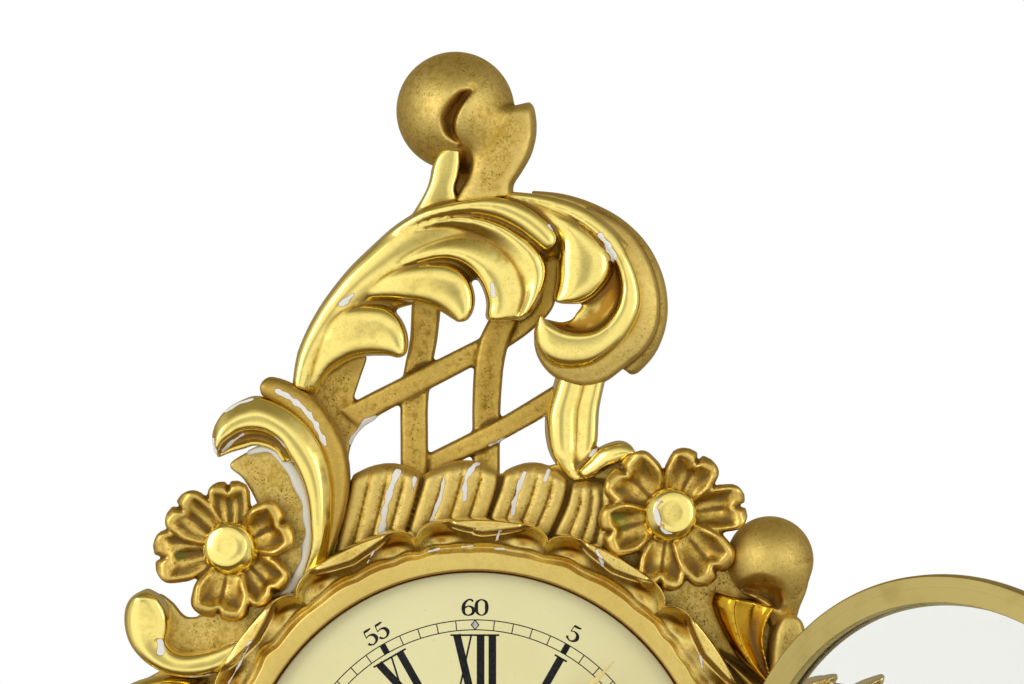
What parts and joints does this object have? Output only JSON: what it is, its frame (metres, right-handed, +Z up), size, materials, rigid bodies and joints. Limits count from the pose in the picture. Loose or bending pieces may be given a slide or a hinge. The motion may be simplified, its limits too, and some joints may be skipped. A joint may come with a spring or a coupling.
{
  "type": "wall clock",
  "caption": "Carved giltwood wall clock: pierced leaf crest, round enamel dial, side-hinged glazed brass door, and a spring movement with its gear train and short pendulum.",
  "frame": {"origin": "on the wall plane, on the axis of the hands, at the flat rear face of the back cover", "axes": "+X right as seen from the front, +Y into the wall, +Z up; the dial faces -Y"},
  "size_m": [0.3845, 0.1983, 0.5605],
  "materials": {
    "burnished_gilt": "burnished water gilding on carved wood",
    "matt_gilt": "matt gilding on carved wood",
    "bare_pine": "bare wood",
    "brass": "satin",
    "gilt_brass": "gilt",
    "steel": "polished",
    "enamel": "fired white enamel on a domed copper plate",
    "glass": "clear domed glass"
  },
  "bodies": {
    "case": {"frame_board": "matt_gilt", "dial_moulding": "burnished_gilt", "shell_band": "matt_gilt", "crest_openwork": "matt_gilt", "crest_stem": "burnished_gilt", "crest_leaf": "burnished_gilt", "crest_rim": "matt_gilt", "finial_ball": "matt_gilt", "left_backing": "matt_gilt", "left_c_scroll": "burnished_gilt", "left_volute": "burnished_gilt", "left_flower": "matt_gilt", "left_boss": "burnished_gilt", "right_backing": "matt_gilt", "right_flower": "matt_gilt", "right_boss": "burnished_gilt", "right_ball": "matt_gilt", "right_leaf": "burnished_gilt", "left_flank": "burnished_gilt", "right_flank": "burnished_gilt", "apron_shell": "matt_gilt", "apron_scroll_left": "burnished_gilt", "apron_scroll_right": "burnished_gilt", "apron_leaf": "burnished_gilt", "movement_drum": "bare_pine", "back_cover": "brass", "hanger_plate": "steel", "dial": "enamel", "dial_retainer": "bare_pine", "hinge_bracket": "brass", "hinge_pin": "steel", "front_plate": "brass", "back_plate": "brass", "suspension_cock": "brass"},
    "door": {"bezel_ring": "brass", "bezel_glass": "glass", "glass_retainer": "brass", "hinge_leaf": "brass", "bezel_knob": "brass"},
    "minute_group": {"centre_wheel": "brass", "cannon_pinion": "brass", "minute_hand": "gilt_brass", "hand_nut": "brass"},
    "hour_group": {"hour_wheel": "brass", "hour_hand": "gilt_brass"},
    "minute_gear": {"minute_wheel": "brass"},
    "third_gear": {"third_wheel": "brass"},
    "escape_gear": {"escape_wheel": "brass"},
    "intermediate_gear": {"intermediate_wheel": "brass"},
    "barrel": {"mainspring_barrel": "brass"},
    "winder": {"barrel_arbor": "steel"},
    "click_lever": {"click": "steel"},
    "anchor_group": {"anchor": "steel"},
    "pendulum": {"pendulum_rod": "steel", "pendulum_bob": "brass"},
    "nut": {"rating_nut": "brass"}
  },
  "joints": [
    {"name": "door_hinge", "type": "hinge", "parent": "case", "child": "door", "pos_m": [0.0942, -0.07276, 0], "axis": [0, 0, 1], "range_deg": [-139.7, 10]},
    {"name": "minute_turn", "type": "hinge", "parent": "case", "child": "minute_group", "pos_m": [0, -0.05, 0], "axis": [0, 1, 0], "continuous": true},
    {"name": "hour_turn", "type": "hinge", "parent": "case", "child": "hour_group", "pos_m": [0, -0.05, 0], "axis": [0, 1, 0], "continuous": true},
    {"name": "minute_wheel_turn", "type": "hinge", "parent": "case", "child": "minute_gear", "pos_m": [0.0144, -0.048, 0], "axis": [0, 1, 0], "continuous": true},
    {"name": "third_turn", "type": "hinge", "parent": "case", "child": "third_gear", "pos_m": [0.01287, -0.03, 0.01838], "axis": [0, 1, 0], "continuous": true},
    {"name": "escape_turn", "type": "hinge", "parent": "case", "child": "escape_gear", "pos_m": [0, -0.03, 0.03031], "axis": [0, 1, 0], "continuous": true},
    {"name": "intermediate_turn", "type": "hinge", "parent": "case", "child": "intermediate_gear", "pos_m": [-0.01729, -0.03, -0.01425], "axis": [0, 1, 0], "continuous": true},
    {"name": "barrel_turn", "type": "hinge", "parent": "case", "child": "barrel", "pos_m": [0, -0.03, -0.034], "axis": [0, 1, 0], "continuous": true},
    {"name": "winding_turn", "type": "hinge", "parent": "case", "child": "winder", "pos_m": [0, -0.045, -0.034], "axis": [0, 1, 0], "continuous": true},
    {"name": "click_pivot", "type": "hinge", "parent": "case", "child": "click_lever", "pos_m": [-0.01256, -0.0455, -0.02675], "axis": [0, 1, 0], "range_deg": [-12, 0]},
    {"name": "pendulum_swing", "type": "hinge", "parent": "case", "child": "pendulum", "pos_m": [0, -0.008, 0.0467], "axis": [0, 1, 0], "range_deg": [-3, 3]},
    {"name": "anchor_rock", "type": "hinge", "parent": "case", "child": "anchor_group", "pos_m": [0, -0.02, 0.0467], "axis": [0, 1, 0], "range_deg": [-3, 3]},
    {"name": "rating_nut_turn", "type": "hinge", "parent": "pendulum", "child": "nut", "pos_m": [0, -0.008, -0.1487], "axis": [0, 0, 1], "continuous": true}
  ],
  "couplings": [
    {"joint": "hour_turn", "follows": "minute_turn", "ratio": 0.083333},
    {"joint": "minute_wheel_turn", "follows": "minute_turn", "ratio": -0.33333},
    {"joint": "third_turn", "follows": "minute_turn", "ratio": -10},
    {"joint": "escape_turn", "follows": "minute_turn", "ratio": 120},
    {"joint": "intermediate_turn", "follows": "minute_turn", "ratio": -0.125},
    {"joint": "barrel_turn", "follows": "minute_turn", "ratio": 0.020833},
    {"joint": "anchor_rock", "follows": "pendulum_swing", "ratio": 1}
  ]
}
